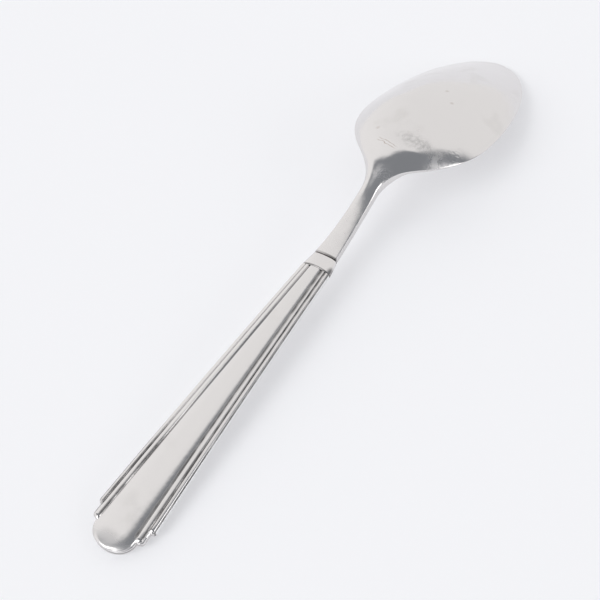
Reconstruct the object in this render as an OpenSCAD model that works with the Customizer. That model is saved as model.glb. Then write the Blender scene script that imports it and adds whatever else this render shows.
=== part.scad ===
// Tablespoon lying face down: a stamped bowl and neck on a tang, a collar, and a hollow
// handle made of two soldered half shells around a cement core.
// X runs from the handle's end to the bowl's tip, Y across and Z up, in millimetres.
// The origin lies on the table, under the middle of the spoon's length.

/* [Bowl] */
// Width of the bowl across its rim
bowl_w = 39; // [35:0.5:44]
// Distance from the bowl's tip back to its widest place
bowl_front_l = 42; // [37:0.5:48]
// Length of the shoulder, from the widest place back to the straight neck
shoulder_l = 33; // [29:0.5:38]
// Height of the bowl's dome above its rim
bowl_depth = 8.7; // [7:0.1:10.5]
// Thickness of the bowl's wall at the middle
bowl_wall = 1.4; // [1.2:0.1:2]
// Height of the rim's edge
rim_h = 0.9; // [0.6:0.1:1.3]
// Width of the rim's edge, seen from below
rim_w = 0.8; // [0.5:0.1:1.2]
// Slope of the rim down to the bowl's tip, in degrees
rim_tilt = 13.4; // [11:0.2:16]
// How far the rim's middle stands above a straight line
rim_bow = 0.2; // [0:0.1:0.6]
// Roundness of the arch where the neck turns down into the rim
arch_round = 0.6; // [0.3:0.1:1.2]

/* [Neck] */
// Length of the straight neck
neck_l = 21.8; // [18:0.2:26]
// Width of the neck at its narrowest
neck_w = 4.8; // [4:0.1:6]
// Width of the neck at the collar
neck_root_w = 6.5; // [6:0.1:8]
// Thickness of the neck
neck_t = 2.4; // [2:0.1:3]
// Slope of the neck at the collar, in degrees
neck_tilt = 4.3; // [3.2:0.1:5.6]
// Extra rise of the bent neck over its straight length
neck_bend = 2.9; // [2.4:0.1:3.4]
// Height of the neck's rounded back above its edges
neck_crown = 0.4; // [0.2:0.05:0.7]
// Distance behind the shoulder at which the back begins to rise into the bowl
heel_l = 7; // [5:0.5:10]
// Height of the low step that runs across the heel
heel_step_h = 1; // [0.5:0.1:1.4]
// Distance from the shoulder to the middle of that step
heel_step_at = 10.5; // [8:0.5:13]
// Length over which the step rises
heel_step_l = 6.5; // [5:0.5:9]

/* [Collar] */
// Length of the collar
collar_l = 4.8; // [4:0.1:6]
// How far the collar stands proud of the neck and the handle
collar_proud = 0.2; // [0.1:0.05:0.4]
// Radius of the collar's rounded ends
collar_round = 0.35; // [0.2:0.05:0.5]

/* [Handle] */
// Length of the handle shells
handle_l = 88.4; // [80:0.2:98]
// Width of the middle panel at the handle's end, before its round lobe
panel_tip_w = 11.4; // [10:0.1:13]
// Width of the middle panel at the collar
panel_collar_w = 3.7; // [3.2:0.1:5]
// Height of the panel's dome at the handle's end, on the back
panel_back_h = 0.55; // [0.4:0.05:0.8]
// Height of the panel's dome at the handle's end, on the front
panel_front_h = 0.9; // [0.6:0.05:1.1]
// Height of the panel's dome at the collar
panel_collar_h = 0.62; // [0.4:0.02:0.8]
// Width of the inner reed at the handle's end
inner_reed_tip_w = 1.8; // [1.4:0.05:2.2]
// Width of the inner reed at the collar
inner_reed_collar_w = 1.05; // [0.9:0.05:1.4]
// Width of the outer reed at the handle's end
outer_reed_tip_w = 1.2; // [0.9:0.05:1.6]
// Width of the outer reed at the collar
outer_reed_collar_w = 1.05; // [0.8:0.05:1.3]
// Height of each reed's bead
reed_h = 0.42; // [0.3:0.02:0.6]
// Height of the groove beside the panel above the seam, at the handle's end
inner_groove_tip_h = 1; // [0.9:0.05:1.2]
// Height of the groove beside the panel above the seam, at the collar
inner_groove_collar_h = 1.15; // [1.05:0.05:1.35]
// Height of the groove between the reeds above the seam, at the handle's end
outer_groove_tip_h = 0.85; // [0.75:0.05:0.95]
// Height of the groove between the reeds above the seam, at the collar
outer_groove_collar_h = 0.9; // [0.8:0.05:1]
// Height of the edge above the seam
edge_h = 0.65; // [0.5:0.05:0.75]
// Width of the thin edge outside the reeds
edge_w = 0.25; // [0.2:0.05:0.4]
// Fall of the thin edge across its width
edge_fall = 0.03; // [0.01:0.01:0.08]
// Length of the round lobe that ends the panel
lobe_l = 4.6; // [4:0.1:6]
// Length over which a reed's end rounds off
reed_round = 1.2; // [0.9:0.1:1.6]
// Straight length between the ends of the two reeds
reed_step = 2.3; // [1.6:0.1:3]
// Slope of the handle at its end, in degrees
handle_tilt = 5.6; // [4.8:0.1:6.4]
// How far the collar end lies below that slope
handle_bow = 2.3; // [1.6:0.1:3]
// Thickness of the shell over the cavity
shell_wall = 0.5; // [0.4:0.05:0.6]
// Thickness of the shell at the handle's very end
tip_wall = 1.5; // [1.2:0.1:2]
// Solder line between the two shells
seam_gap = 0.04; // [0.02:0.01:0.08]

/* [Tang and core] */
// Length of the tang inside the handle
tang_l = 48; // [40:1:60]
// Thickness of the tang
tang_t = 1; // [0.8:0.1:1.2]
// Cement left above and below the tang at the collar
core_cover = 0.2; // [0.1:0.05:0.3]
// Clearance between pieces that are bonded together
fit_gap = 0.05; // [0.03:0.01:0.1]
// Depth of the small flats worn where the spoon rests
rest_cut = 0.12; // [0.05:0.01:0.2]

/* [Hidden] */
steel = [0.80, 0.80, 0.79];
bright_steel = [0.86, 0.86, 0.85];
cement = [0.62, 0.60, 0.56];

// Places along the length, measured from the handle's end
neck_s = handle_l + collar_l;
shoulder_s = neck_s + neck_l;
widest_s = shoulder_s + shoulder_l;
spoon_l = widest_s + bowl_front_l;

// Powers that give the bowl, the panel, the reeds and the collar their form
dome_power = 2.45;
panel_power = 4.5;
panel_fall = 1.5;
lobe_power = 3;
reed_tip_power = 3;
reed_collar_power = 10;
collar_handle_power = 1.8;
collar_neck_power = 3.2;
// Shares of the heel's length over which its rise begins and ends
heel_start_share = 0.25;
heel_end_share = 0.15;
// Share of the shoulder's length at which its outline turns outwards
shoulder_turn = 0.32;
// Share of the widening over which the neck's edge thins to the rim
rim_start = 0.33;
// Share of the widening over which the hollow under the heel reaches its full depth
hollow_start = 0.45;
// Share of a reed's width that runs on round the lobe past its end
reed_left = 0.08;
// Share of a step at which the lobe starts, so that its end is a small flat
lobe_start = 0.4;
// Angle round the bowl's front at which its small flat end begins
front_turn = 86.5;
// Bevel along the lower edges of the neck and the rim
lower_bevel = 0.12;

// Numbers of steps in the lofts
neck_steps = 6;
shoulder_steps = 14;
front_steps = 15;
across_steps = 20;
lobe_steps = 6;
end_steps = 4;
handle_steps = 12;
panel_steps = 6;
reed_steps = 5;
cavity_steps = 6;
collar_sides = 36;
tang_steps = 10;

function mix(a, b, t) = a + (b - a) * t;
function within(t) = min(1, max(0, t));
function smooth(t) = within(t) * within(t) * (3 - 2 * within(t));
function round_end(t) = sqrt(1 - pow(1 - within(t), 2));
function soft_min(a, b, r) = (a + b - sqrt(pow(a - b, 2) + 4 * r * r)) / 2;
function bezier(a, b, c, d, t) =
    pow(1 - t, 3) * a + 3 * pow(1 - t, 2) * t * b + 3 * (1 - t) * t * t * c + pow(t, 3) * d;
// A rise from 0 to 1 whose ends are rounded over the shares a and b of its length
function ramp(t, a, b) =
    let (u = within(t))
    let (slope = 1 / (1 - a / 2 - b / 2))
    u < a ? slope * u * u / (2 * a)
    : u > 1 - b ? 1 - slope * pow(1 - u, 2) / (2 * b)
    : slope * (u - a / 2);
function flat(list) = [for (part = list) each part];
function reversed(list) = [for (i = [len(list) - 1 : -1 : 0]) list[i]];

// A point of the spoon from its place along the length, with nothing below the table
function at(s, y, z) = [s - spoon_l / 2, y, max(0, z)];

// Where the outer reeds end, and where the handle has its full width
outer_end_s = lobe_l + reed_round + reed_step;
body_s = outer_end_s + reed_round;

// Handle: widths and heights at a place along it, on side 1, the back, or -1, the front
function taper(tip, collar, s) = mix(tip, collar, s / handle_l);
function lobe(s) = round_end(s / lobe_l);
function inner_reed_end(s) = max(reed_left, round_end((s - lobe_l) / reed_round));
function outer_reed_end(s) = max(reed_left, round_end((s - outer_end_s) / reed_round));
function panel_y(s) = taper(panel_tip_w, panel_collar_w, s) / 2 * lobe(s);
function inner_reed_y(s) =
    panel_y(s) + inner_reed_end(s) * taper(inner_reed_tip_w, inner_reed_collar_w, s);
function outer_reed_y(s) =
    inner_reed_y(s) + outer_reed_end(s) * taper(outer_reed_tip_w, outer_reed_collar_w, s);
function inner_groove_h(s) = taper(inner_groove_tip_h, inner_groove_collar_h, s);
function outer_groove_h(s) = taper(outer_groove_tip_h, outer_groove_collar_h, s);
function lobe_rise(s) = pow(1 - pow(1 - within(s / lobe_l), lobe_power), 1 / lobe_power);
function panel_h(s, side) = taper(side > 0 ? panel_back_h : panel_front_h, panel_collar_h, s) * lobe_rise(s);
function crown_h(s, side) = inner_groove_h(s) + panel_h(s, side);

// Stations along the handle, close together at the lobe and at the reeds' ends
handle_s = concat(
    [for (i = [0 : lobe_steps - 1]) lobe_l * (1 - cos(90 * (i + lobe_start) / lobe_steps))],
    [for (i = [0 : end_steps]) lobe_l + reed_round * (1 - cos(90 * i / end_steps))],
    [for (i = [0 : end_steps]) outer_end_s + reed_round * (1 - cos(90 * i / end_steps))],
    [for (i = [1 : handle_steps]) mix(body_s, handle_l, i / handle_steps)]
);

// Height of the seam, set so that the underside of the handle's end rests on the table
function handle_rise(s) = tan(handle_tilt) * s - handle_bow * pow(s / handle_l, 2);
tip_h = max([for (s = handle_s) crown_h(s, -1) - handle_rise(s)]) - rest_cut;
function seam_z(s) = tip_h + handle_rise(s);
end_slope = tan(handle_tilt) - 2 * handle_bow / handle_l;
tang_z = seam_z(handle_l);

// Height of the tang's middle, along the seam inside the handle and straight on past it
function tang_line(s) = s < handle_l ? seam_z(s) : tang_z + end_slope * (s - handle_l);

// Half of a shell's section, as distance from the middle and height above the seam
function reed_power(s) = taper(reed_tip_power, reed_collar_power, s);
reed_foot_h = edge_h + edge_fall;
function half_section(s, side) = concat(
    [for (i = [0 : panel_steps])
        let (v = i / panel_steps)
        [panel_y(s) * v, inner_groove_h(s) + panel_h(s, side) * pow(1 - pow(v, panel_power), panel_fall)]],
    reed_points(s, panel_y(s), inner_reed_y(s), inner_groove_h(s), outer_groove_h(s), inner_reed_end(s)),
    reed_points(s, inner_reed_y(s), outer_reed_y(s), outer_groove_h(s), reed_foot_h, outer_reed_end(s)),
    [[outer_reed_y(s) + edge_w, edge_h], [outer_reed_y(s) + edge_w, seam_gap / 2]]
);
function reed_points(s, y0, y1, h0, h1, fullness) = [for (i = [1 : reed_steps])
    let (v = i / reed_steps)
    let (bead = 1 - pow(abs(2 * v - 1), reed_power(s)))
    [mix(y0, y1, v), mix(h0, h1, v) + reed_h * pow(fullness, 2) * bead]];
function section(half) = concat(
    reversed([for (i = [1 : len(half) - 1]) [-half[i].x, half[i].y]]),
    half
);

// Cavity under the panel and the inner reeds
function cavity_y(s) = inner_reed_y(s) - shell_wall;
function cavity_h(s) = crown_h(s, 1) - shell_wall;
function cavity_section(s, gap) = [for (i = [-cavity_steps : cavity_steps])
    let (v = i / cavity_steps)
    [(cavity_y(s) - gap) * v, seam_gap / 2 + (cavity_h(s) - gap) * (1 - v * v)]];
function cavity_s(i, gap) = i < lobe_steps ? mix(tip_wall + gap, lobe_l, i / lobe_steps) : handle_s[i];

// Tang: as wide as the cavity allows at the collar, under its cover of cement
tang_room = 1 - (tang_t / 2 + core_cover) / cavity_h(handle_l);
tang_w = 2 * cavity_y(handle_l) * sqrt(tang_room);

// Head: the line of its upper edge, with the neck rising into the rim that falls to the tip
neck_root_z = tang_line(neck_s) + neck_t / 2;
function neck_line(s) =
    let (d = s - neck_s)
    neck_root_z + tan(neck_tilt) * d + neck_bend * pow(d / neck_l, 2);
function rim_line(s) =
    let (u = within((s - shoulder_s) / (spoon_l - shoulder_s)))
    rim_h - rest_cut + tan(rim_tilt) * (spoon_l - s) + 4 * rim_bow * u * (1 - u);
function edge_z(s) = soft_min(neck_line(s), rim_line(s), arch_round);

// Share of the full bowl at a half width, from 0 on the neck to 1 at the widest place
function widening(w) = (w - neck_w / 2) / (bowl_w / 2 - neck_w / 2);
function fullness(w) = smooth(widening(w));
function edge_t(w) = mix(neck_t, rim_h, smooth(widening(w) / rim_start));

// Height of the back's middle above its edges: it rises along the heel and falls again to the tip
heel_s = shoulder_s - heel_l;
function heel_rise(s) = ramp((s - heel_s) / (widest_s - heel_s), heel_start_share, heel_end_share);
function heel_step(s) = smooth((s - shoulder_s - heel_step_at) / heel_step_l + 0.5);
function dome_h(s, w) = s < widest_s
    ? neck_crown + (bowl_depth - neck_crown - heel_step_h) * heel_rise(s) + heel_step_h * heel_step(s)
    : bowl_depth * pow(w / (bowl_w / 2), dome_power);
function hollow_h(s, w) =
    smooth(widening(w) / hollow_start) * max(0, dome_h(s, w) + edge_t(w) - bowl_wall);

// Outline of the head: place, half width, and the same of the rim's inner edge
function inset(s, w) = [s, w, s, w - rim_w * fullness(w) - lower_bevel];
neck_path = [for (i = [0 : neck_steps - 1])
    let (t = i / neck_steps)
    inset(mix(neck_s, shoulder_s, t), mix(neck_w / 2, neck_root_w / 2, pow(1 - t, 2)))];
shoulder_path = [for (i = [0 : shoulder_steps - 1])
    let (t = i / shoulder_steps)
    let (turn_s = shoulder_s + shoulder_turn * shoulder_l)
    inset(bezier(shoulder_s, turn_s, turn_s, widest_s, t), bezier(neck_w, neck_w, bowl_w, bowl_w, t) / 2)];
front_path = [for (i = [0 : front_steps])
    let (a = front_turn * i / front_steps)
    let (edge = rim_w + lower_bevel)
    [
        widest_s + bowl_front_l * sin(a), bowl_w / 2 * cos(a),
        widest_s + (bowl_front_l - edge) * sin(a), (bowl_w / 2 - edge) * cos(a)
    ]];
head_path = concat(neck_path, shoulder_path, front_path);

// One ring of the head: over the dome from one edge to the other, and back under it
function head_ring(p) =
    let (s = p[0], w = p[1], s_in = p[2], w_in = p[3])
    concat(
        [for (j = [0 : across_steps])
            let (v = cos(180 * j / across_steps))
            at(s, w * v, edge_z(s) + dome_h(s, w) * (1 - pow(abs(v), dome_power)))],
        [for (j = [0 : across_steps])
            let (v = -cos(180 * j / across_steps))
            at(s_in, w_in * v, edge_z(s_in) - edge_t(w) + hollow_h(s, w) * (1 - pow(abs(v), dome_power)))]
    );

// Triangles of the quad a, b, c, d
function quad(a, b, c, d) = [[a, b, c], [a, c, d]];

// Sides of a loft over closed rings of n points, and its two ends
function ring_sides(rings, n) = flat([for (i = [0 : rings - 2], j = [0 : n - 1])
    let (k = (j + 1) % n)
    quad(i * n + j, (i + 1) * n + j, (i + 1) * n + k, i * n + k)]);
function ring_end(first, n) = flat([for (j = [0 : n / 2 - 2])
    quad(first + j, first + n - 1 - j, first + n - 2 - j, first + j + 1)]);
function turned(faces) = [for (f = faces) [f[2], f[1], f[0]]];

// Flat end of an open arch of n points, and the flat ring between two arches
function arch_end(first, n) = concat(
    flat([for (j = [0 : (n - 5) / 2]) quad(first + j, first + j + 1, first + n - 2 - j, first + n - 1 - j)]),
    [[first + (n - 3) / 2, first + (n - 1) / 2, first + (n + 1) / 2]]
);
function arch_strip(outer, m, inner, k) = flat([for (j = [0 : m - 2])
    let (a = inner + round(j * (k - 1) / (m - 1)))
    let (b = inner + round((j + 1) * (k - 1) / (m - 1)))
    concat([[outer + j, outer + j + 1, a]], b > a ? [[outer + j + 1, b, a]] : [])]);

module loft(rings) {
    n = len(rings[0]);
    last = (len(rings) - 1) * n;
    polyhedron(
        points = flat(rings),
        faces = concat(ring_sides(len(rings), n), turned(ring_end(0, n)), ring_end(last, n))
    );
}

// A bar along the tang's line, wider and thicker than the tang by a gap on each side
module tang_bar(from_s, to_s, gap) {
    y = tang_w / 2 + gap;
    h = tang_t / 2 + gap;
    loft([for (i = [0 : tang_steps])
        let (s = mix(from_s, to_s, i / tang_steps))
        let (z = tang_line(s))
        [at(s, y, z + h), at(s, -y, z + h), at(s, -y, z - h), at(s, y, z - h)]]);
}

module spoon_head() {
    color(steel) union() {
        loft([for (p = head_path) head_ring(p)]);
        tang_bar(handle_l - tang_l, neck_s + neck_t, 0);
    }
}

// Half width and half height of the collar, from its handle end to its neck end
function collar_size(t) = [
    mix(outer_reed_y(handle_l) + edge_w, neck_root_w / 2, t) + collar_proud,
    mix(crown_h(handle_l, 1), neck_t / 2, t) + collar_proud
];
function power_of(x, power) = sign(x) * pow(abs(x), 2 / power);
collar_path = concat(
    [for (i = [0 : end_steps]) [collar_round * (1 - cos(90 * i / end_steps)), 90 * i / end_steps]],
    [for (i = [end_steps : -1 : 0])
        [collar_l - fit_gap * 2 - collar_round * (1 - cos(90 * i / end_steps)), 90 * i / end_steps]]
);
function collar_ring(d, turn) =
    let (size = collar_size(d / collar_l))
    let (power = mix(collar_handle_power, collar_neck_power, d / collar_l))
    let (drop = collar_round * (1 - sin(turn)))
    let (s = handle_l + fit_gap + d)
    [for (j = [0 : collar_sides - 1])
        let (a = 360 * (j + 0.5) / collar_sides)
        at(
            s,
            (size.x - drop) * power_of(cos(a), power),
            tang_line(s) + (size.y - drop) * power_of(sin(a), power)
        )];

module collar() {
    color(bright_steel) difference() {
        loft([for (c = collar_path) collar_ring(c[0], c[1])]);
        tang_bar(handle_l - collar_l, neck_s + collar_l, fit_gap);
    }
}

// One half of the hollow handle: side 1 lies above the seam and side -1 below it
module handle_shell(side) {
    outer = [for (s = handle_s)
        [for (p = section(half_section(s, side))) at(s, p.x, seam_z(s) + side * p.y)]];
    inner = [for (i = [0 : len(handle_s) - 1])
        let (c = cavity_s(i, 0))
        [for (p = cavity_section(c, 0)) at(c, p.x, seam_z(c) + side * p.y)]];
    n = len(handle_s);
    m = len(outer[0]);
    k = len(inner[0]);
    base = n * m;
    last_outer = (n - 1) * m;
    last_inner = base + (n - 1) * k;
    skin = flat([for (i = [0 : n - 2], j = [0 : m - 2])
        quad(i * m + j, i * m + j + 1, (i + 1) * m + j + 1, (i + 1) * m + j)]);
    lining = flat([for (i = [0 : n - 2], j = [0 : k - 2])
        quad(base + i * k + j, base + (i + 1) * k + j, base + (i + 1) * k + j + 1, base + i * k + j + 1)]);
    left_seam = flat([for (i = [0 : n - 2])
        quad(i * m, (i + 1) * m, base + (i + 1) * k, base + i * k)]);
    right_seam = flat([for (i = [0 : n - 2])
        quad(i * m + m - 1, base + i * k + k - 1, base + (i + 1) * k + k - 1, (i + 1) * m + m - 1)]);
    tip_seam = quad(0, base, base + k - 1, m - 1);
    tip_end = turned(arch_end(0, m));
    cavity_end = arch_end(base, k);
    collar_end = arch_strip(last_outer, m, last_inner, k);
    faces = concat(skin, lining, left_seam, right_seam, tip_seam, tip_end, cavity_end, collar_end);
    polyhedron(
        points = concat(flat(outer), flat(inner)),
        faces = side > 0 ? faces : turned(faces)
    );
}

module handle_back_shell() {
    color(steel) handle_shell(1);
}

module handle_front_shell() {
    color(steel) handle_shell(-1);
}

// Cement core that fills the cavity and grips the tang
module handle_filler() {
    core = [for (i = [0 : len(handle_s) - 1])
        let (c = cavity_s(i, fit_gap))
        let (half = cavity_section(c, fit_gap))
        concat(
            [for (p = reversed(half)) at(c, p.x, seam_z(c) + p.y)],
            [for (p = half) at(c, p.x, seam_z(c) - p.y)]
        )];
    color(cement) difference() {
        loft(core);
        tang_bar(handle_l - tang_l - fit_gap, neck_s, fit_gap);
    }
}

spoon_head();
collar();
handle_back_shell();
handle_front_shell();
handle_filler();
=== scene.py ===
"""A stainless tablespoon lying face down on a pale table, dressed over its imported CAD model."""

import math

import bpy
from mathutils import Matrix, Vector


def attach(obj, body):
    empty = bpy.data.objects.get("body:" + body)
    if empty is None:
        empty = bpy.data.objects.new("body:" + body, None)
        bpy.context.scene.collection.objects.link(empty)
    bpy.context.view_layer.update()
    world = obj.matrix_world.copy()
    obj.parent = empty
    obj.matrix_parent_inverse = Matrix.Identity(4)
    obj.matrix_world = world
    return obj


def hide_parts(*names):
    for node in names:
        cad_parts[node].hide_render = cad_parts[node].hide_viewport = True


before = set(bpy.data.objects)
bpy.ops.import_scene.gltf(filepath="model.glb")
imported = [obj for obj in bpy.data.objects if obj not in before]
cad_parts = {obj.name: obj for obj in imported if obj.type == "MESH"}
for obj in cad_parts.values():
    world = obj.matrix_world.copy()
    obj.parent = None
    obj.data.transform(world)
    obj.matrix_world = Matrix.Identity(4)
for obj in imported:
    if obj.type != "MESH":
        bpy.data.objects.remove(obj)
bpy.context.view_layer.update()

# Sizes of the spoon in millimetres, as in the part's source, with pairs for the handle's end and the collar
BOWL_W = 39.0
BOWL_FRONT_L = 42.0
SHOULDER_L = 33.0
BOWL_DEPTH = 8.7
BOWL_WALL = 1.4
RIM_H = 0.9
RIM_W = 0.8
RIM_TILT = math.radians(13.4)
RIM_BOW = 0.2
ARCH_ROUND = 0.6
NECK_L = 21.8
NECK_W = 4.8
NECK_ROOT_W = 6.5
NECK_T = 2.4
NECK_TILT = math.radians(4.3)
NECK_BEND = 2.9
NECK_CROWN = 0.4
HEEL_L = 7.0
HEEL_STEP_H = 1.0
HEEL_STEP_AT = 10.5
HEEL_STEP_L = 6.5
COLLAR_L = 4.8
COLLAR_PROUD = 0.2
COLLAR_ROUND = 0.35
HANDLE_L = 88.4
PANEL_W = (11.4, 3.7)
PANEL_BACK_H = (0.55, 0.62)
PANEL_FRONT_H = (0.9, 0.62)
INNER_REED_W = (1.8, 1.05)
OUTER_REED_W = (1.2, 1.05)
REED_H = 0.42
INNER_GROOVE_H = (1.0, 1.15)
OUTER_GROOVE_H = (0.85, 0.9)
EDGE_H = 0.65
EDGE_W = 0.25
EDGE_FALL = 0.03
LOBE_L = 4.6
REED_ROUND = 1.2
REED_STEP = 2.3
HANDLE_TILT = math.radians(5.6)
HANDLE_BOW = 2.3
SHELL_WALL = 0.5
TIP_WALL = 1.5
SEAM_GAP = 0.04
TANG_L = 48.0
TANG_T = 1.0
CORE_COVER = 0.2
FIT_GAP = 0.05
REST_CUT = 0.12
LOWER_BEVEL = 0.12

# Forms of its curves, as in the part's source: powers, and shares of a rise or of a width
DOME_POWER = 2.45
PANEL_POWER = 4.5
PANEL_FALL = 1.5
LOBE_POWER = 3.0
REED_POWER = (3.0, 10.0)
COLLAR_POWER = (1.8, 3.2)
HEEL_START_SHARE = 0.25
HEEL_END_SHARE = 0.15
SHOULDER_TURN = 0.32
RIM_START = 0.33
HOLLOW_START = 0.45
REED_LEFT = 0.08

# Places along the length, measured from the handle's end
OUTER_END_S = LOBE_L + REED_ROUND + REED_STEP
BODY_S = OUTER_END_S + REED_ROUND
NECK_S = HANDLE_L + COLLAR_L
SHOULDER_S = NECK_S + NECK_L
HEEL_S = SHOULDER_S - HEEL_L
WIDEST_S = SHOULDER_S + SHOULDER_L
SPOON_L = WIDEST_S + BOWL_FRONT_L

# Small roundings and trims of the steel
FRONT_TURN = math.radians(88.6)
FRONT_TRIM = 0.08
BACK_TRIM = 0.01
RIM_ROUND = 0.22
NECK_ROUND = 0.4
EDGE_ROUND = 0.1
# The most that a rounding takes of a half width, and of the edge between two corners
MOST_ROUND = 0.3
MOST_CORNER = 0.45

# One millimetre in metres
MM = 0.001


def mix(a, b, t):
    return a + (b - a) * t


def within(t):
    return min(1.0, max(0.0, t))


def smooth(t):
    t = within(t)
    return t * t * (3 - 2 * t)


def round_end(t):
    """A rise from 0 to 1 along a quarter circle."""
    return math.sqrt(1 - (1 - within(t)) ** 2)


def soft_min(a, b, r):
    """The lower of two heights, rounded where they meet."""
    return (a + b - math.sqrt((a - b) ** 2 + 4 * r * r)) / 2


def bezier(a, b, c, d, t):
    return (1 - t) ** 3 * a + 3 * (1 - t) ** 2 * t * b + 3 * (1 - t) * t * t * c + t ** 3 * d


def turn(i, n):
    """Angle of step i of n over a quarter turn."""
    return math.pi / 2 * i / n


def from_middle(s):
    """A place along the length, in metres from the spoon's middle."""
    return (s - SPOON_L / 2) * MM


def at(s, y, z):
    """A point in metres from its place along the length, with nothing below the table."""
    return (from_middle(s), y * MM, max(0.0, z) * MM)


# Handle: widths and heights at a place along it, on side 1, the back, or -1, the front

def taper(ends, s):
    return mix(*ends, s / HANDLE_L)


def lobe(s):
    return round_end(s / LOBE_L)


def inner_reed_end(s):
    return max(REED_LEFT, round_end((s - LOBE_L) / REED_ROUND))


def outer_reed_end(s):
    return max(REED_LEFT, round_end((s - OUTER_END_S) / REED_ROUND))


def panel_y(s):
    return taper(PANEL_W, s) / 2 * lobe(s)


def inner_reed_y(s):
    return panel_y(s) + inner_reed_end(s) * taper(INNER_REED_W, s)


def outer_reed_y(s):
    return inner_reed_y(s) + outer_reed_end(s) * taper(OUTER_REED_W, s)


def panel_h(s, side):
    rise = (1 - (1 - within(s / LOBE_L)) ** LOBE_POWER) ** (1 / LOBE_POWER)
    return taper(PANEL_BACK_H if side > 0 else PANEL_FRONT_H, s) * rise


def crown_h(s, side):
    return taper(INNER_GROOVE_H, s) + panel_h(s, side)


def handle_rise(s):
    return math.tan(HANDLE_TILT) * s - HANDLE_BOW * (s / HANDLE_L) ** 2


LOBE_STEPS = 22
END_STEPS = 10
HANDLE_STEPS = 70
LOBE_START = math.radians(6.1)


def reed_end_stations(start):
    return [start + REED_ROUND * (1 - math.cos(turn(i, END_STEPS))) for i in range(END_STEPS + 1)]


def handle_stations():
    lobe_turns = [mix(LOBE_START, math.pi / 2, i / LOBE_STEPS) for i in range(LOBE_STEPS)]
    lobe_part = [LOBE_L * (1 - math.cos(a)) for a in lobe_turns]
    body = [mix(BODY_S, HANDLE_L, i / HANDLE_STEPS) for i in range(1, HANDLE_STEPS + 1)]
    return lobe_part + reed_end_stations(LOBE_L) + reed_end_stations(OUTER_END_S) + body


HANDLE_S = handle_stations()
CAVITY_S = [mix(TIP_WALL, LOBE_L, i / LOBE_STEPS) for i in range(LOBE_STEPS)] + HANDLE_S[LOBE_STEPS:]
TIP_H = max(crown_h(s, -1) - handle_rise(s) for s in HANDLE_S) - REST_CUT
END_SLOPE = math.tan(HANDLE_TILT) - 2 * HANDLE_BOW / HANDLE_L


def seam_z(s):
    return TIP_H + handle_rise(s)


def tang_line(s):
    return seam_z(s) if s < HANDLE_L else seam_z(HANDLE_L) + END_SLOPE * (s - HANDLE_L)


PANEL_STEPS = 26
REED_STEPS = 14
ROUND_STEPS = 5
CAVITY_STEPS = 10


def reed_points(s, y0, y1, h0, h1, end):
    """Points over one reed between two grooves, lower where the reed ends."""
    points = []
    for i in range(1, REED_STEPS + 1):
        v = i / REED_STEPS
        bead = 1 - abs(2 * v - 1) ** taper(REED_POWER, s)
        points.append((mix(y0, y1, v), mix(h0, h1, v) + REED_H * end ** 2 * bead))
    return points


def half_section(s, side):
    """Half of a shell's section, as distance from the middle and height above the seam."""
    points = []
    groove = taper(INNER_GROOVE_H, s)
    for i in range(PANEL_STEPS + 1):
        v = math.sin(turn(i, PANEL_STEPS))
        points.append((panel_y(s) * v, groove + panel_h(s, side) * (1 - v ** PANEL_POWER) ** PANEL_FALL))
    low = taper(OUTER_GROOVE_H, s)
    points += reed_points(s, panel_y(s), inner_reed_y(s), groove, low, inner_reed_end(s))
    points += reed_points(s, inner_reed_y(s), outer_reed_y(s), low, EDGE_H + EDGE_FALL, outer_reed_end(s))
    edge_y = outer_reed_y(s) + EDGE_W
    for i in range(ROUND_STEPS + 1):
        a = turn(i, ROUND_STEPS)
        points.append((edge_y - EDGE_ROUND * (1 - math.sin(a)), EDGE_H - EDGE_ROUND * (1 - math.cos(a))))
    points.append((edge_y, SEAM_GAP / 2))
    return points


def shell_section(s, side):
    half = half_section(s, side)
    return [(-y, h) for y, h in reversed(half[1:])] + half


def cavity_section(s):
    width = inner_reed_y(s) - SHELL_WALL
    height = crown_h(s, 1) - SHELL_WALL
    return [
        (width * i / CAVITY_STEPS, SEAM_GAP / 2 + height * (1 - (i / CAVITY_STEPS) ** 2))
        for i in range(-CAVITY_STEPS, CAVITY_STEPS + 1)
    ]


# Head: the line of its upper edge, its outline and its section

NECK_ROOT_Z = tang_line(NECK_S) + NECK_T / 2


def edge_z(s):
    d = s - NECK_S
    neck = NECK_ROOT_Z + math.tan(NECK_TILT) * d + NECK_BEND * (d / NECK_L) ** 2
    u = within((s - SHOULDER_S) / (SPOON_L - SHOULDER_S))
    rim = RIM_H - REST_CUT + math.tan(RIM_TILT) * (SPOON_L - s) + 4 * RIM_BOW * u * (1 - u)
    return soft_min(neck, rim, ARCH_ROUND)


def widening(w):
    """0 at the neck's half width and 1 at the bowl's."""
    return (w - NECK_W / 2) / (BOWL_W / 2 - NECK_W / 2)


def fullness(w):
    return smooth(widening(w))


def edge_t(w):
    return mix(NECK_T, RIM_H, smooth(widening(w) / RIM_START))


def ramp(t, a, b):
    """A rise from 0 to 1 whose ends are rounded over the shares a and b of its length."""
    t = within(t)
    slope = 1 / (1 - a / 2 - b / 2)
    if t < a:
        return slope * t * t / (2 * a)
    if t > 1 - b:
        return 1 - slope * (1 - t) ** 2 / (2 * b)
    return slope * (t - a / 2)


def dome_h(s, w):
    """Height of the back's middle above its edges: it rises along the heel and falls again to the tip."""
    if s < WIDEST_S:
        rise = ramp((s - HEEL_S) / (WIDEST_S - HEEL_S), HEEL_START_SHARE, HEEL_END_SHARE)
        step = smooth((s - SHOULDER_S - HEEL_STEP_AT) / HEEL_STEP_L + 0.5)
        return NECK_CROWN + (BOWL_DEPTH - NECK_CROWN - HEEL_STEP_H) * rise + HEEL_STEP_H * step
    return BOWL_DEPTH * (w / (BOWL_W / 2)) ** DOME_POWER


def hollow_h(s, w):
    return smooth(widening(w) / HOLLOW_START) * max(0.0, dome_h(s, w) + edge_t(w) - BOWL_WALL)


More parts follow.
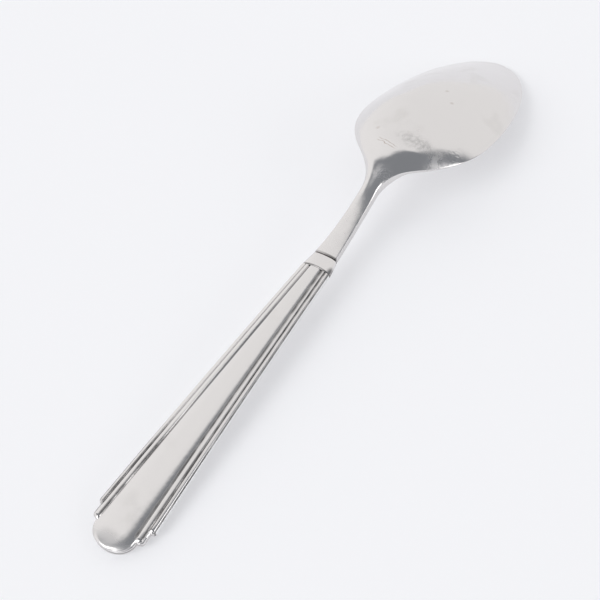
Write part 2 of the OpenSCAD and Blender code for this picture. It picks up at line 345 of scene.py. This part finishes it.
NECK_STEPS = 22
SHOULDER_STEPS = 64
FRONT_STEPS = 64
TOP_STEPS = 30
UNDER_STEPS = 22
CORNER_STEPS = 5
SIDE_STEPS = 2


def head_path():
    """Place and half width of the outline, and the same of the rim's inner edge, from the neck to the tip."""
    path = []

    def inset(s, w):
        path.append((s, w, s, w - RIM_W * fullness(w) - LOWER_BEVEL))

    for i in range(NECK_STEPS):
        t = i / NECK_STEPS
        inset(mix(NECK_S, SHOULDER_S, t), mix(NECK_W / 2, NECK_ROOT_W / 2, (1 - t) ** 2))
    turn_s = SHOULDER_S + SHOULDER_TURN * SHOULDER_L
    for i in range(SHOULDER_STEPS):
        t = i / SHOULDER_STEPS
        inset(bezier(SHOULDER_S, turn_s, turn_s, WIDEST_S, t), bezier(NECK_W, NECK_W, BOWL_W, BOWL_W, t) / 2)
    length = BOWL_FRONT_L - FRONT_TRIM
    edge = RIM_W + LOWER_BEVEL
    for i in range(FRONT_STEPS + 1):
        a = FRONT_TURN * i / FRONT_STEPS
        path.append((
            WIDEST_S + length * math.sin(a), BOWL_W / 2 * math.cos(a),
            WIDEST_S + (length - edge) * math.sin(a), (BOWL_W / 2 - edge) * math.cos(a),
        ))
    return path


def between(a, b, share):
    """The point at a share of the way from a to b."""
    return tuple(mix(p, q, share) for p, q in zip(a, b))


def toward(a, b, distance):
    """The point at a distance from a on the way to b, which leaves room for the corner at b."""
    return between(a, b, min(MOST_CORNER, distance / math.dist(a, b)))


def corner(a, b, c):
    """Points of a rounded corner from a to c, bent towards b."""
    points = []
    for i in range(CORNER_STEPS + 1):
        t = i / CORNER_STEPS
        points.append(tuple((1 - t) ** 2 * p + 2 * (1 - t) * t * q + t * t * r for p, q, r in zip(a, b, c)))
    return points


def half_ring(station):
    """Half of the head's section, from the middle of the back over the edge to the middle of the hollow."""
    s, w, s_in, w_in = station
    radius = mix(NECK_ROUND, RIM_ROUND, smooth(widening(w) / RIM_START))
    dome = dome_h(s, w) - BACK_TRIM * fullness(w)
    hollow = hollow_h(s, w)
    low = edge_z(s_in) - edge_t(w)
    end = 1 - min(radius, MOST_ROUND * w) / w
    end_in = 1 - min(radius, MOST_ROUND * w_in) / w_in

    def top(v):
        return (s, w * v, edge_z(s) + dome * (1 - v ** DOME_POWER))

    def under(v):
        return (s_in, w_in * v, low + hollow * (1 - v ** DOME_POWER))

    outer, inner = top(1.0), under(1.0)
    side_a, side_b = toward(outer, inner, radius), toward(inner, outer, radius)
    points = [top(end * math.sin(turn(i, TOP_STEPS))) for i in range(TOP_STEPS)]
    points += corner(top(end), outer, side_a)
    points += [between(side_a, side_b, i / SIDE_STEPS) for i in range(1, SIDE_STEPS)]
    points += corner(side_b, inner, under(end_in))
    points += [under(end_in * math.sin(turn(i, UNDER_STEPS))) for i in range(UNDER_STEPS - 1, -1, -1)]
    return points


def whole_ring(half):
    """The half section and its mirror image, as one closed ring."""
    return half + [(s, -y, z) for s, y, z in reversed(half[1:-1])]


# Tang: as wide as the cavity allows at the collar, under its cover of cement
CAVITY_END_H = crown_h(HANDLE_L, 1) - SHELL_WALL
TANG_W = 2 * (inner_reed_y(HANDLE_L) - SHELL_WALL) * math.sqrt(1 - (TANG_T / 2 + CORE_COVER) / CAVITY_END_H)
TANG_STEPS = 12


def head_rings():
    """Closed rings of the head, from the tang's end through the neck to the bowl's tip."""
    path = head_path()
    root = whole_ring(half_ring(path[0]))
    rings = []
    for i in range(TANG_STEPS + 1):
        s = mix(HANDLE_L - TANG_L, NECK_S, i / TANG_STEPS)
        rings.append([
            (s, y * TANG_W / NECK_ROOT_W, tang_line(s) + (z - tang_line(NECK_S)) * TANG_T / NECK_T)
            for _, y, z in root
        ])
    rings += [whole_ring(half_ring(station)) for station in path]
    return rings


# Collar

COLLAR_SIDES = 96
COLLAR_STEPS = 8
BORE_POWER = 10.0


def oval_share(x, power):
    """A coordinate of an oval of size 1, from the same coordinate of a circle."""
    return math.copysign(abs(x) ** (2 / power), x)


def oval(s, half_w, half_h, power):
    ring = []
    for j in range(COLLAR_SIDES):
        a = 2 * math.pi * (j + 0.5) / COLLAR_SIDES
        y = half_w * oval_share(math.cos(a), power)
        z = tang_line(s) + half_h * oval_share(math.sin(a), power)
        ring.append((s, y, z))
    return ring


def collar_rings():
    """Rings over the outside of the collar and back through its bore."""
    length = COLLAR_L - 2 * FIT_GAP
    start_s = HANDLE_L + FIT_GAP
    turns = [turn(i, COLLAR_STEPS) for i in range(COLLAR_STEPS + 1)]
    start = [(COLLAR_ROUND * (1 - math.cos(a)), a) for a in turns]
    path = start + [(length - d, a) for d, a in reversed(start)]
    rings = []
    for d, a in path:
        t = d / COLLAR_L
        drop = COLLAR_ROUND * (1 - math.sin(a))
        half_w = mix(outer_reed_y(HANDLE_L) + EDGE_W, NECK_ROOT_W / 2, t) + COLLAR_PROUD - drop
        half_h = mix(crown_h(HANDLE_L, 1), NECK_T / 2, t) + COLLAR_PROUD - drop
        rings.append(oval(start_s + d, half_w, half_h, mix(*COLLAR_POWER, t)))
    for s in (start_s + length, start_s):
        rings.append(oval(s, TANG_W / 2 + FIT_GAP, TANG_T / 2 + FIT_GAP, BORE_POWER))
    return rings


# Meshes

def loft_faces(count, n, loop):
    """Quads over closed rings of n points, joined up from the last ring to the first where loop is true."""
    faces = []
    for i in range(count if loop else count - 1):
        a, b = i * n, (i + 1) % count * n
        for j in range(n):
            k = (j + 1) % n
            faces.append((a + j, a + k, b + k, b + j))
    return faces


def end_faces(first, n):
    """Faces across the closed ring that starts at first, which is the same on both sides."""
    faces = [(first, first + 1, first + n - 1)]
    for j in range(1, n // 2 - 1):
        faces.append((first + j, first + j + 1, first + n - j - 1, first + n - j))
    faces.append((first + n // 2 - 1, first + n // 2, first + n // 2 + 1))
    return faces


def arch_faces(first, n):
    """Faces across an open arch of n points that is the same on both sides."""
    faces = []
    for j in range(n // 2 - 1):
        faces.append((first + j, first + j + 1, first + n - 2 - j, first + n - 1 - j))
    faces.append((first + n // 2 - 1, first + n // 2, first + n // 2 + 1))
    return faces


def turned(faces):
    return [tuple(reversed(f)) for f in faces]


def all_points(rings):
    return [p for ring in rings for p in ring]


def wall_faces(first, wide, first_in, narrow):
    """Faces across a wall's end, between its outer section of wide points and its inner one of narrow."""
    faces = []
    for j in range(wide - 1):
        a = first_in + round(j * (narrow - 1) / (wide - 1))
        b = first_in + round((j + 1) * (narrow - 1) / (wide - 1))
        faces.append((first + j, first + j + 1, b, a) if b > a else (first + j, first + j + 1, a))
    return faces


def shell_mesh(side):
    """Points and faces of one half of the hollow handle: side 1 lies above the seam and side -1 below it."""
    outer = [[at(s, y, seam_z(s) + side * h) for y, h in shell_section(s, side)] for s in HANDLE_S]
    inner = [[at(s, y, seam_z(s) + side * h) for y, h in cavity_section(s)] for s in CAVITY_S]
    last, wide, narrow = len(outer) - 1, len(outer[0]), len(inner[0])
    base = len(outer) * wide
    faces = []
    for i in range(last):
        a, b = i * wide, (i + 1) * wide
        faces += [(a + j, a + j + 1, b + j + 1, b + j) for j in range(wide - 1)]
        c, d = base + i * narrow, base + (i + 1) * narrow
        faces += [(c + j, d + j, d + j + 1, c + j + 1) for j in range(narrow - 1)]
        faces.append((a, b, d, c))
        faces.append((a + wide - 1, c + narrow - 1, d + narrow - 1, b + wide - 1))
    faces.append((0, base, base + narrow - 1, wide - 1))
    faces += turned(arch_faces(0, wide))
    faces += arch_faces(base, narrow)
    faces += wall_faces(last * wide, wide, base + last * narrow, narrow)
    return all_points(outer + inner), faces if side > 0 else turned(faces)


def head_mesh():
    rings = head_rings()
    n = len(rings[0])
    faces = loft_faces(len(rings), n, False)
    faces += turned(end_faces(0, n))
    faces += end_faces((len(rings) - 1) * n, n)
    return [at(*p) for p in all_points(rings)], faces


def collar_mesh():
    rings = collar_rings()
    return [at(*p) for p in all_points(rings)], loft_faces(len(rings), COLLAR_SIDES, True)


SHARP_ANGLE = math.radians(50)


def add_object(name, data):
    item = bpy.data.objects.new(name, data)
    bpy.context.scene.collection.objects.link(item)
    return item


def make(name, mesh_data, material, node):
    """A piece of the spoon that stands for a CAD node."""
    points, faces = mesh_data
    mesh = bpy.data.meshes.new(name)
    mesh.from_pydata(points, [], faces)
    mesh.validate()
    mesh.materials.append(material)
    for polygon in mesh.polygons:
        polygon.use_smooth = True
    mesh.set_sharp_from_angle(angle=SHARP_ANGLE)
    piece = add_object(name, mesh)
    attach(piece, "root")
    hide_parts(node)


# Materials

def metres(sizes):
    return tuple(size * MM for size in sizes)


def places(stations):
    return tuple(from_middle(s) for s in stations)


class Graph:
    """Short calls for adding and linking nodes in one node tree."""

    def __init__(self, tree):
        self.tree = tree

    def add(self, kind, inputs=None, **settings):
        node = self.tree.nodes.new(kind)
        for key, value in settings.items():
            setattr(node, key, value)
        for key, value in (inputs or {}).items():
            if isinstance(value, bpy.types.NodeSocket):
                self.tree.links.new(value, node.inputs[key])
            else:
                node.inputs[key].default_value = value
        return node

    def math(self, operation, a, b=0.0, clamp=False):
        return self.add("ShaderNodeMath", {0: a, 1: b}, operation=operation, use_clamp=clamp).outputs[0]

    def plus(self, a, b):
        return self.math("ADD", a, b)

    def minus(self, a, b):
        return self.math("SUBTRACT", a, b)

    def times(self, a, b):
        return self.math("MULTIPLY", a, b)

    def larger(self, a, b):
        return self.math("MAXIMUM", a, b)

    def more(self, value, share, amount):
        """A value, and a share of an amount on top of it."""
        return self.plus(value, self.times(share, amount))

    def vectors(self, operation, a, b):
        return self.add("ShaderNodeVectorMath", {0: a, 1: b}, operation=operation).outputs

    def scaled(self, point, shares):
        return self.vectors("MULTIPLY", point, shares)["Vector"]

    def dot(self, vector, direction):
        return self.vectors("DOT_PRODUCT", vector, direction)["Value"]

    def step(self, value, limits, results):
        """A smooth step from one result at the first limit to the other at the second."""
        keys = ("Value", "From Min", "From Max", "To Min", "To Max")
        inputs = dict(zip(keys, (value, *limits, *results)))
        return self.add("ShaderNodeMapRange", inputs, interpolation_type="SMOOTHSTEP").outputs["Result"]

    def blend(self, share, a, b):
        inputs = {"Factor": share, 6: a, 7: b}
        return self.add("ShaderNodeMix", inputs, data_type="RGBA", clamp_factor=True).outputs[2]

    def spot(self, point, center, radii, squeeze=1.0):
        """1 around a place seen from above and 0 beyond the larger radius, wider for a squeeze below 1."""
        s, y = center
        seen = self.scaled(point, (1, squeeze, 0))
        away = self.vectors("DISTANCE", seen, at(s, y * squeeze, 0.0))["Value"]
        return self.step(away, metres(radii), (1.0, 0.0))

    def line(self, offset, half_widths, strength=1.0):
        """A line along which the offset is 0, with its full strength in its middle."""
        return self.step(self.math("ABSOLUTE", offset), metres(half_widths), (strength, 0.0))

    def noise(self, point, scale, detail):
        return self.add("ShaderNodeTexNoise", {"Vector": point, "Scale": scale, "Detail": detail}).outputs[0]

    def patches(self, point, scale, detail, limits, results):
        """Noise with its values between the limits spread over the results."""
        return self.step(self.noise(point, scale, detail), limits, results)

    def split(self, point):
        """The three coordinates of a place."""
        return self.add("ShaderNodeSeparateXYZ", {0: point}).outputs

    def bump(self, height, depth, strength, normal=None):
        inputs = {"Height": height, "Distance": depth * MM, "Strength": strength}
        if normal is not None:
            inputs["Normal"] = normal
        return self.add("ShaderNodeBump", inputs).outputs[0]


def surface(name, look, metallic):
    """A material whose look gives colour, roughness and normal at each place on a piece."""
    material = bpy.data.materials.new(name)
    material.use_nodes = True
    shader = material.node_tree.nodes["Principled BSDF"]
    shader.inputs["Metallic"].default_value = metallic
    g = Graph(material.node_tree)
    point = g.add("ShaderNodeTexCoord").outputs["Object"]
    for key, value in zip(("Base Color", "Roughness", "Normal"), look(g, point)):
        material.node_tree.links.new(value, shader.inputs[key])
    return material


STEEL = (0.766, 0.746, 0.742, 1)
STAIN = (0.63, 0.61, 0.59, 1)
SMUDGE = (0.5, 0.49, 0.485, 1)
# Dark dirt; the same colour also paints shade in the collar's joints, in the handle's grooves and at the
# handle's end
GRIME_AND_SHADE = (0.14, 0.135, 0.132, 1)
SCRATCH = (0.42, 0.33, 0.27, 1)
# Near-white steel for a painted sheen along the handle's edges
EDGE_SHEEN = (0.95, 0.95, 0.95, 1)

# Marks on the head in millimetres: places along and across it, and where each is full and where it ends
SMEAR_AT = (131.3, -5.4)
SMEAR_R = (0.4, 3.5)
SMEAR_SQUEEZE = 0.42
SMEAR_SHARE = 0.72
SMEAR_ROUGH = 0.16
HAZE_AT = (130.0, -11.6)
HAZE_R = (0.5, 5.0)
HAZE_ROUGH = 0.25
DOTS_AT = (119.3, -3.0)
DOTS_R = (0.5, 3.2)
DOTS_ROUGH = (0.02, 0.2)
DULL_NECK_S = (110, 124)
DULL_NECK_ROUGH = 0.12
PITS_AT = (134.6, -14.6)
PITS_R = (0.8, 3.4)
PITS_DEPTH = 0.3
PITS_STRENGTH = 0.17
SCRATCHED_AT = (127.3, 1.5)
SCRATCHED_R = (2.0, 3.8)
SCRATCHES_S = (127.4, 128.1)
SCRATCH_W = (0.03, 0.13)
SCRATCH_SHARE = 0.6
SCRATCH_SLANT = 0.18
SCRATCH_WOBBLE = 1.2
SPECKS_AT = ((155.1, -1.3), (150.3, -5.5), (131.8, 7.0))
SPECK_R = (0.1, 0.9)
SPECK_SHARE = 0.3
# Dark line on the neck where it meets the collar: dirt and painted shade, darker on the right side than on
# the left
NECK_SHADE_S = (NECK_S + 0.25, NECK_S + 0.7)
NECK_SHADE_SHARE = 0.85
NECK_SHADE_FADE_Y = (-2.5, 3.0)
NECK_SHADE_FADE = (1.0, 0.4)


def scratches(g, point, color):
    """Fine scratches across the heel, which run on a slant and wobble."""
    x, y, _ = g.split(point)
    wobble = g.times(g.noise(point, scale=700.0, detail=1.0), SCRATCH_WOBBLE * MM)
    course = g.minus(g.plus(x, wobble), g.times(y, SCRATCH_SLANT))
    scratched = g.spot(point, SCRATCHED_AT, SCRATCHED_R)
    for s in SCRATCHES_S:
        scratch = g.line(g.minus(course, from_middle(s)), SCRATCH_W, SCRATCH_SHARE)
        color = g.blend(g.times(scratch, scratched), color, SCRATCH)
    return color


def head_wear_and_shade(g, point, color, rough, normal):
    """A smear, haze, pits, scratches and specks on the bowl, a dull neck, and dirt with painted shade along
    the collar, darker on the right.
    """
    x, y, _ = g.split(point)
    grains = g.patches(point, scale=900.0, detail=4.0, limits=(0.36, 0.64), results=(0.3, 1.0))
    smear = g.times(g.spot(point, SMEAR_AT, SMEAR_R, SMEAR_SQUEEZE), grains)
    color = g.blend(g.times(smear, SMEAR_SHARE), color, SMUDGE)
    rough = g.more(rough, smear, SMEAR_ROUGH)
    clouds = g.patches(point, scale=420.0, detail=3.0, limits=(0.35, 0.65), results=(0.25, 1.0))
    haze = g.times(g.spot(point, HAZE_AT, HAZE_R), clouds)
    rough = g.more(rough, haze, HAZE_ROUGH)
    dots = g.patches(point, scale=3600.0, detail=2.0, limits=(0.48, 0.66), results=DOTS_ROUGH)
    rough = g.more(rough, g.spot(point, DOTS_AT, DOTS_R), dots)
    fog = g.patches(point, scale=600.0, detail=4.0, limits=(0.3, 0.7), results=(0.55, 1.0))
    dull_neck = g.times(g.step(x, places(DULL_NECK_S), (1.0, 0.0)), fog)
    rough = g.more(rough, dull_neck, DULL_NECK_ROUGH)
    pits = g.times(g.noise(point, scale=1500.0, detail=2.0), g.spot(point, PITS_AT, PITS_R))
    normal = g.bump(pits, PITS_DEPTH, PITS_STRENGTH, normal)
    color = scratches(g, point, color)
    for center in SPECKS_AT:
        speck = g.times(g.spot(point, center, SPECK_R), fog)
        color = g.blend(g.times(speck, SPECK_SHARE), color, SCRATCH)
    # Dirt and painted shade in the joint with the collar, fading towards the left
    line = g.step(x, places(NECK_SHADE_S), (NECK_SHADE_SHARE, 0.0))
    line = g.times(line, g.step(y, metres(NECK_SHADE_FADE_Y), NECK_SHADE_FADE))
    return g.blend(line, color, GRIME_AND_SHADE), rough, normal


# Grooves of the handle as distances from its middle, and the half width of the dark line in each: dirt and
# painted shade
PANEL_GROOVE = (PANEL_W[0] / 2, PANEL_W[1] / 2)
REED_GROOVE = (PANEL_GROOVE[0] + INNER_REED_W[0], PANEL_GROOVE[1] + INNER_REED_W[1])
EDGE_GROOVE = (REED_GROOVE[0] + OUTER_REED_W[0], REED_GROOVE[1] + OUTER_REED_W[1])
PANEL_DIRT_SHADE_W = (0.05, 0.65)
REED_DIRT_SHADE_W = (0.05, 0.45)
EDGE_DIRT_SHADE_W = (0.05, 0.22)
EDGE_DIRT_SHADE_OUT = 0.06
DIRT_SHADE_SHARE = 0.85
DIRT_SHADE_ROUGH = 0.45
# The dark lines lie all along the right side, and on the left only up to here: dirt, with painted shade on
# the side away from the light
LEFT_DIRT_SHADE_S = (25, 38)
DIRT_SHADE_START_S = (LOBE_L, LOBE_L + 2)
SIDE_FADE_Y = (-0.3, 0.3)
# The dark lines cross the grooves at a slight slant, about this place
DRIFT_S = 54
DRIFT_SLOPE = 0.0065
# Height of the seam over the spoon's middle, were it to go on as it starts at the handle's end
SEAM_AT = (TIP_H + math.tan(HANDLE_TILT) * SPOON_L / 2) * MM
# A dark line along the seam at the handle's end: the seam itself, and painted contact shade where the end
# rests on the table
SEAM_SHADE_W = (0.05, 0.22)
SEAM_SHADE_SHARE = 0.9
SEAM_SHADE_S = (3, 6)
DULL_END_S = (1.5, 5.5)
DULL_END_ROUGH = 0.22
# Painted sheen on the handle's edges, from this distance outside the last groove
EDGE_SHEEN_FROM = (0.14, 0.2)


def outside(g, x, off_middle, groove):
    """Distance outside a groove that runs straight from the handle's end to the collar."""
    slope = (groove[1] - groove[0]) / HANDLE_L
    groove_y = g.plus(g.times(x, slope), (groove[0] + slope * SPOON_L / 2) * MM)
    return g.minus(off_middle, groove_y)


def groove_dirt_and_shade(g, x, y, right_half):
    """Dirt and painted shade in the three grooves of each side, and the distance outside the last of them."""
    off_middle = g.math("ABSOLUTE", y)
    side = g.minus(1.0, g.times(right_half, 2.0))
    drift = g.times(g.times(g.minus(from_middle(DRIFT_S), x), DRIFT_SLOPE), side)
    beyond_edge = outside(g, x, off_middle, EDGE_GROOVE)
    by_panel = g.line(g.minus(outside(g, x, off_middle, PANEL_GROOVE), drift), PANEL_DIRT_SHADE_W)
    by_reed = g.line(g.minus(outside(g, x, off_middle, REED_GROOVE), drift), REED_DIRT_SHADE_W)
    by_edge = g.line(g.minus(beyond_edge, EDGE_DIRT_SHADE_OUT * MM), EDGE_DIRT_SHADE_W)
    return g.larger(g.larger(by_panel, by_reed), by_edge), beyond_edge


def handle_wear_shade_and_sheen(g, point, color, rough, normal):
    """Dirt and painted shade in the grooves, a dark seam line with painted contact shade at the end, a dull
    end and a painted sheen on the edges.
    """
    x, y, z = g.split(point)
    right_half = g.step(y, metres(SIDE_FADE_Y), (1.0, 0.0))
    # The dark lines reach all along the right side as painted shade, and on the left only near the end
    reach = g.larger(g.step(x, places(LEFT_DIRT_SHADE_S), (1.0, 0.0)), right_half)
    reach = g.times(reach, g.step(x, places(DIRT_SHADE_START_S), (0.0, 1.0)))
    uneven = g.patches(point, scale=300.0, detail=3.0, limits=(0.3, 0.6), results=(0.55, 1.0))
    # Dirt and painted shade in the grooves
    dirt_and_shade, beyond_edge = groove_dirt_and_shade(g, x, y, right_half)
    dirt_and_shade = g.times(dirt_and_shade, g.times(reach, uneven))
    color = g.blend(g.times(dirt_and_shade, DIRT_SHADE_SHARE), color, GRIME_AND_SHADE)
    rough = g.more(rough, dirt_and_shade, DIRT_SHADE_ROUGH)
    # Dark seam line with painted contact shade, only near the handle's end
    seam = g.plus(g.times(x, math.tan(HANDLE_TILT)), SEAM_AT)
    line = g.line(g.minus(z, seam), SEAM_SHADE_W, SEAM_SHADE_SHARE)
    color = g.blend(g.times(line, g.step(x, places(SEAM_SHADE_S), (1.0, 0.0))), color, GRIME_AND_SHADE)
    rough = g.plus(rough, g.step(x, places(DULL_END_S), (DULL_END_ROUGH, 0.0)))
    # Painted sheen: brighter steel along the edges
    wear_and_sheen = g.step(beyond_edge, metres(EDGE_SHEEN_FROM), (0.0, 1.0))
    return g.blend(wear_and_sheen, color, EDGE_SHEEN), rough, normal


# The collar's right corner is painted darker as shade; the dark line at its end by the handle is dirt and
# painted shade
COLLAR_CORNER_AT = (HANDLE_L + 1.3, -4.2)
COLLAR_CORNER_R = (0.3, 1.5)
COLLAR_CORNER_SHADE = 0.65
COLLAR_SHADE_S = (HANDLE_L + 0.25, HANDLE_L + 0.6)
COLLAR_SHADE_SHARE = 0.75
COLLAR_LINE_ROUGH = 0.2


def collar_dirt_and_shade(g, point, color, rough, normal):
    """Dirt and painted shade along the end that meets the handle, and painted shade on the right corner."""
    # Painted shade on the right corner
    corner_shade = g.spot(point, COLLAR_CORNER_AT, COLLAR_CORNER_R)
    color = g.blend(g.times(corner_shade, COLLAR_CORNER_SHADE), color, GRIME_AND_SHADE)
    # Dirt and painted shade in the joint with the handle
    line = g.step(g.split(point)["X"], places(COLLAR_SHADE_S), (COLLAR_SHADE_SHARE, 0.0))
    rough = g.more(rough, line, COLLAR_LINE_ROUGH)
    return g.blend(line, color, GRIME_AND_SHADE), rough, normal


ALONG_GRAIN = (0.12, 1.0, 1.0)
UNEVEN_POLISH = (0.8, 1.25)
STAIN_SHARE = 0.25
STAIN_ROUGH = 0.06
SPECK_ROUGH = 0.08


def steel(name, roughness, wear_and_sheen, marks_and_shade):
    """Polished steel with soft waves, fine scratches along it, pits, stains and uneven polish, with each
    piece's own marks and painted shade on top.
    """

    def look(g, point):
        pits = g.noise(point, scale=900.0, detail=3.0)
        normal = g.bump(g.noise(point, scale=130.0, detail=1.0), depth=1.0, strength=0.03)
        grain = g.noise(g.scaled(point, ALONG_GRAIN), scale=1400.0, detail=2.0)
        normal = g.bump(grain, depth=0.2, strength=0.03, normal=normal)
        normal = g.bump(pits, depth=0.3, strength=0.035, normal=normal)
        stain = g.patches(point, scale=110.0, detail=4.0, limits=(0.56, 0.72), results=(0.0, wear_and_sheen))
        color = g.blend(g.times(stain, STAIN_SHARE), STEEL, STAIN)
        polish = [roughness * share for share in UNEVEN_POLISH]
        rough = g.patches(point, scale=220.0, detail=3.0, limits=(0.3, 0.7), results=polish)
        rough = g.more(rough, stain, STAIN_ROUGH)
        rough = g.more(rough, g.step(pits, (0.62, 0.72), (0.0, wear_and_sheen)), SPECK_ROUGH)
        return marks_and_shade(g, point, color, rough, normal)

    return surface(name, look, metallic=1.0)


CEMENT = (0.62, 0.6, 0.56, 1)
CEMENT_DARK = (0.48, 0.46, 0.42, 1)


def cement(g, point):
    """Set cement with dark patches and a grainy face."""
    dark = g.patches(point, scale=250.0, detail=3.0, limits=(0.35, 0.65), results=(0.0, 1.0))
    grains = g.noise(point, scale=2500.0, detail=4.0)
    rough = g.step(grains, (0.3, 0.7), (0.75, 0.95))
    return g.blend(dark, CEMENT, CEMENT_DARK), rough, g.bump(grains, depth=0.2, strength=0.5)


# Pieces of the spoon

head_steel = steel("head_steel", roughness=0.13, wear_and_sheen=1.0, marks_and_shade=head_wear_and_shade)
handle_steel = steel("handle_steel", roughness=0.1, wear_and_sheen=0.7, marks_and_shade=handle_wear_shade_and_sheen)
collar_steel = steel("collar_steel", roughness=0.12, wear_and_sheen=0.5, marks_and_shade=collar_dirt_and_shade)

make("head", head_mesh(), head_steel, "spoon_head")
make("collar_band", collar_mesh(), collar_steel, "collar")
make("back_shell", shell_mesh(1), handle_steel, "handle_back_shell")
make("front_shell", shell_mesh(-1), handle_steel, "handle_front_shell")

# The filler stays as it was built and gets the look of set cement
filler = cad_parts["handle_filler"]
filler.data.materials.clear()
filler.data.materials.append(surface("cement", cement, metallic=0.0))


# Table, room and camera

FLOOR_SIZE = 6.0
PAPER = (0.955, 0.96, 0.985, 1)
GLOW = (0.97, 0.97, 0.995, 1)
PAPER_GLOW = 0.45


def paper():
    """White paper. Part of its brightness is its own, so that its shadows stay pale."""
    material = bpy.data.materials.new("table_paper")
    material.use_nodes = True
    material.node_tree.nodes.clear()
    g = Graph(material.node_tree)
    ray = g.add("ShaderNodeLightPath").outputs
    seen = g.plus(ray["Is Camera Ray"], ray["Is Glossy Ray"])
    seen = g.math("ADD", seen, ray["Is Transmission Ray"], clamp=True)
    matt = g.add("ShaderNodeBsdfDiffuse", {"Color": PAPER}).outputs[0]
    glow = g.add("ShaderNodeEmission", {"Color": GLOW, "Strength": 1.0}).outputs[0]
    mixed = g.add("ShaderNodeMixShader", {0: g.times(seen, PAPER_GLOW), 1: matt, 2: glow}).outputs[0]
    g.add("ShaderNodeOutputMaterial", {0: mixed})
    return material


def add_table():
    half = FLOOR_SIZE / 2
    corners = [(-half, -half, 0), (half, -half, 0), (half, half, 0), (-half, half, 0)]
    mesh = bpy.data.meshes.new("table")
    mesh.from_pydata(corners, [], [(0, 1, 2, 3)])
    mesh.materials.append(paper())
    floor = add_object("table", mesh)


# Directions in the room: away from the camera, to its right, and square to the dark part's edge
AHEAD = (0.8245, 0.5568, 0.0)
RIGHT = (0.5568, -0.8245, 0.0)
EDGE_TURN = math.radians(7)
ROOM_EDGE = tuple(a * math.cos(EDGE_TURN) + r * math.sin(EDGE_TURN) for a, r in zip(AHEAD, RIGHT))
ROOM_LIGHT = (0.915, 0.91, 0.905, 1)
ROOM_LEFT = (0.98, 0.975, 0.97, 1)
ROOM_DARK = (0.257, 0.271, 0.29, 1)
# Two low lights on the right, and a window behind on the left
LOW_LIGHT = (2.5, 2.5, 2.5, 1)
LOW_LIGHT_AT = ((0.155, -0.907, 0.381), (-0.014, -0.944, 0.33))
WINDOW = (4.9, 4.9, 4.9, 1)
WINDOW_AT = (-0.731, 0.278, 0.623)
# Where each part of the room begins and ends, as the cosine of the angle to its direction
DARK_EDGE = (0.09, 0.25)
DARK_LEFT_END = (-0.92, -0.7)
GREY_LEFT = (-0.62, -0.34)
GREY_BEHIND = (-0.15, 0.1)
GREY_SHARE = 0.65
LEFT_LIGHT = (-0.6, 0.1)
LOW_LIGHT_EDGE = (0.965, 0.985)
WINDOW_EDGE = (0.93, 0.975)


def light_room():
    """Light from all round: bright ahead and far to the left, dark overhead, behind and to the right."""
    world = bpy.data.worlds.new("room")
    bpy.context.scene.world = world
    world.use_nodes = True
    world.node_tree.nodes.clear()
    g = Graph(world.node_tree)
    direction = g.add("ShaderNodeTexCoord").outputs["Generated"]
    ahead_of = g.dot(direction, AHEAD)
    right_of = g.dot(direction, RIGHT)
    dark = g.step(g.dot(direction, ROOM_EDGE), DARK_EDGE, (1.0, 0.0))
    dark = g.times(dark, g.step(right_of, DARK_LEFT_END, (0.0, 1.0)))
    grey = g.step(right_of, GREY_LEFT, (GREY_SHARE, 0.0))
    grey = g.times(grey, g.step(ahead_of, GREY_BEHIND, (1.0, 0.0)))
    dark = g.times(dark, g.minus(1.0, grey))
    color = g.blend(g.step(right_of, LEFT_LIGHT, (1.0, 0.0)), ROOM_LIGHT, ROOM_LEFT)
    color = g.blend(dark, color, ROOM_DARK)
    for low_light_at in LOW_LIGHT_AT:
        low_light = g.step(g.dot(direction, low_light_at), LOW_LIGHT_EDGE, (0.0, 1.0))
        color = g.blend(low_light, color, LOW_LIGHT)
    color = g.blend(g.step(g.dot(direction, WINDOW_AT), WINDOW_EDGE, (0.0, 1.0)), color, WINDOW)
    sky = g.add("ShaderNodeBackground", {"Color": color, "Strength": 1.0}).outputs[0]
    g.add("ShaderNodeOutputWorld", {0: sky})


PHOTO_PIXELS = 600
FOCAL_PIXELS = 1148.15
SENSOR = 36.0
NEAREST = 0.01
CAMERA_AT = Vector((-0.15595, -0.12373, 0.23479))
CAMERA_RIGHT = Vector((0.5568, -0.8245, -0.1010))
CAMERA_UP = Vector((0.6809, 0.3834, 0.6241))


def add_camera():
    data = bpy.data.cameras.new("camera")
    data.sensor_width = SENSOR
    data.lens = FOCAL_PIXELS * SENSOR / PHOTO_PIXELS
    data.clip_start = NEAREST
    camera = add_object("camera", data)
    right = CAMERA_RIGHT.normalized()
    up = (CAMERA_UP - CAMERA_UP.dot(right) * right).normalized()
    axes = Matrix((right, up, right.cross(up))).transposed()
    camera.matrix_world = Matrix.Translation(CAMERA_AT) @ axes.to_4x4()
    bpy.context.scene.camera = camera


add_table()
light_room()
add_camera()
bpy.context.scene.view_settings.view_transform = "Standard"
